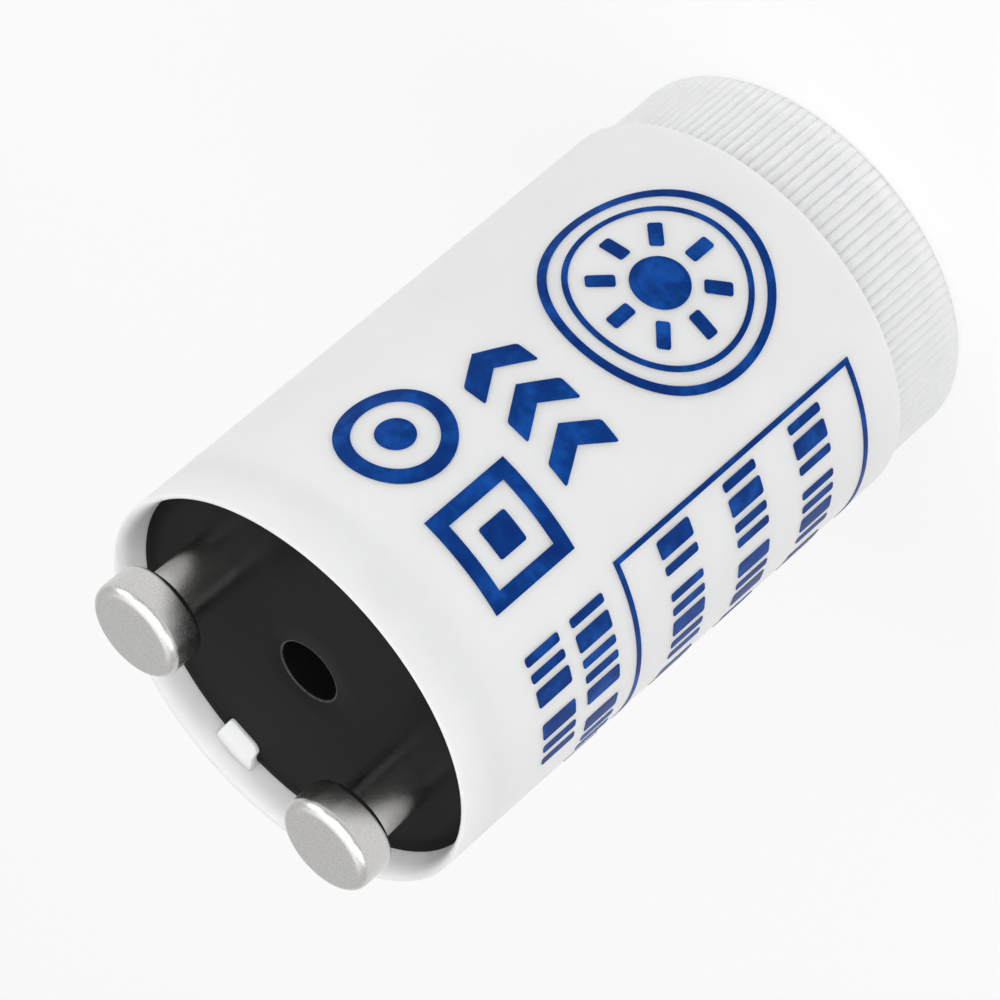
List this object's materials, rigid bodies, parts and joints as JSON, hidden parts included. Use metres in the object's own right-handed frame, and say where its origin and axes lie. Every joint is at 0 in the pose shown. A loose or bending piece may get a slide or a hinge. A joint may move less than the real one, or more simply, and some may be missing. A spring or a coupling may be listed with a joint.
{
  "type": "fluorescent starter",
  "caption": "Plug-in glow starter for a fluorescent lamp: white cylindrical canister with a ribbed grip, headed contact pins on a black base disc, glow bulb and capacitor inside.",
  "frame": {"origin": "centre of the closed, ribbed end, on the plane it stands on", "axes": "+Z from the closed end to the contact pins, +X through both pins, the printed side faces -Y"},
  "size_m": [0.0213, 0.0213, 0.0397],
  "materials": {
    "canister": "satin white moulded plastic",
    "base_disc": "glossy black laminate",
    "pin_metal": "satin nickel plate",
    "bulb_glass": "clear glass",
    "electrode_metal": "drawn nickel rod",
    "bimetal": "rolled bimetal strip",
    "lead_wire": "tinned wire",
    "capacitor_case": "dipped resin",
    "solder": "bright solder",
    "blue_ink": "blue pad-printed ink"
  },
  "bodies": {
    "case": {"canister": "canister", "base_disc": "base_disc", "contact_pin_left": "pin_metal", "contact_pin_right": "pin_metal", "glow_bulb": "bulb_glass", "fixed_electrode": "electrode_metal", "blade_post": "electrode_metal", "bulb_lead_left": "lead_wire", "bulb_lead_right": "lead_wire", "capacitor": "capacitor_case", "capacitor_lead_left": "lead_wire", "capacitor_lead_right": "lead_wire", "solder_left": "solder", "solder_right": "solder", "printed_marks": "blue_ink"},
    "bimetal": {"bimetal_strip": "bimetal"}
  },
  "joints": [
    {"name": "bimetal_bend", "type": "hinge", "parent": "case", "child": "bimetal", "pos_m": [-0.00158, 0.00418, 0.0189], "axis": [0, -1, 0], "range_deg": [0, 6.5], "stiffness_Nm_per_rad": 0.002}
  ]
}
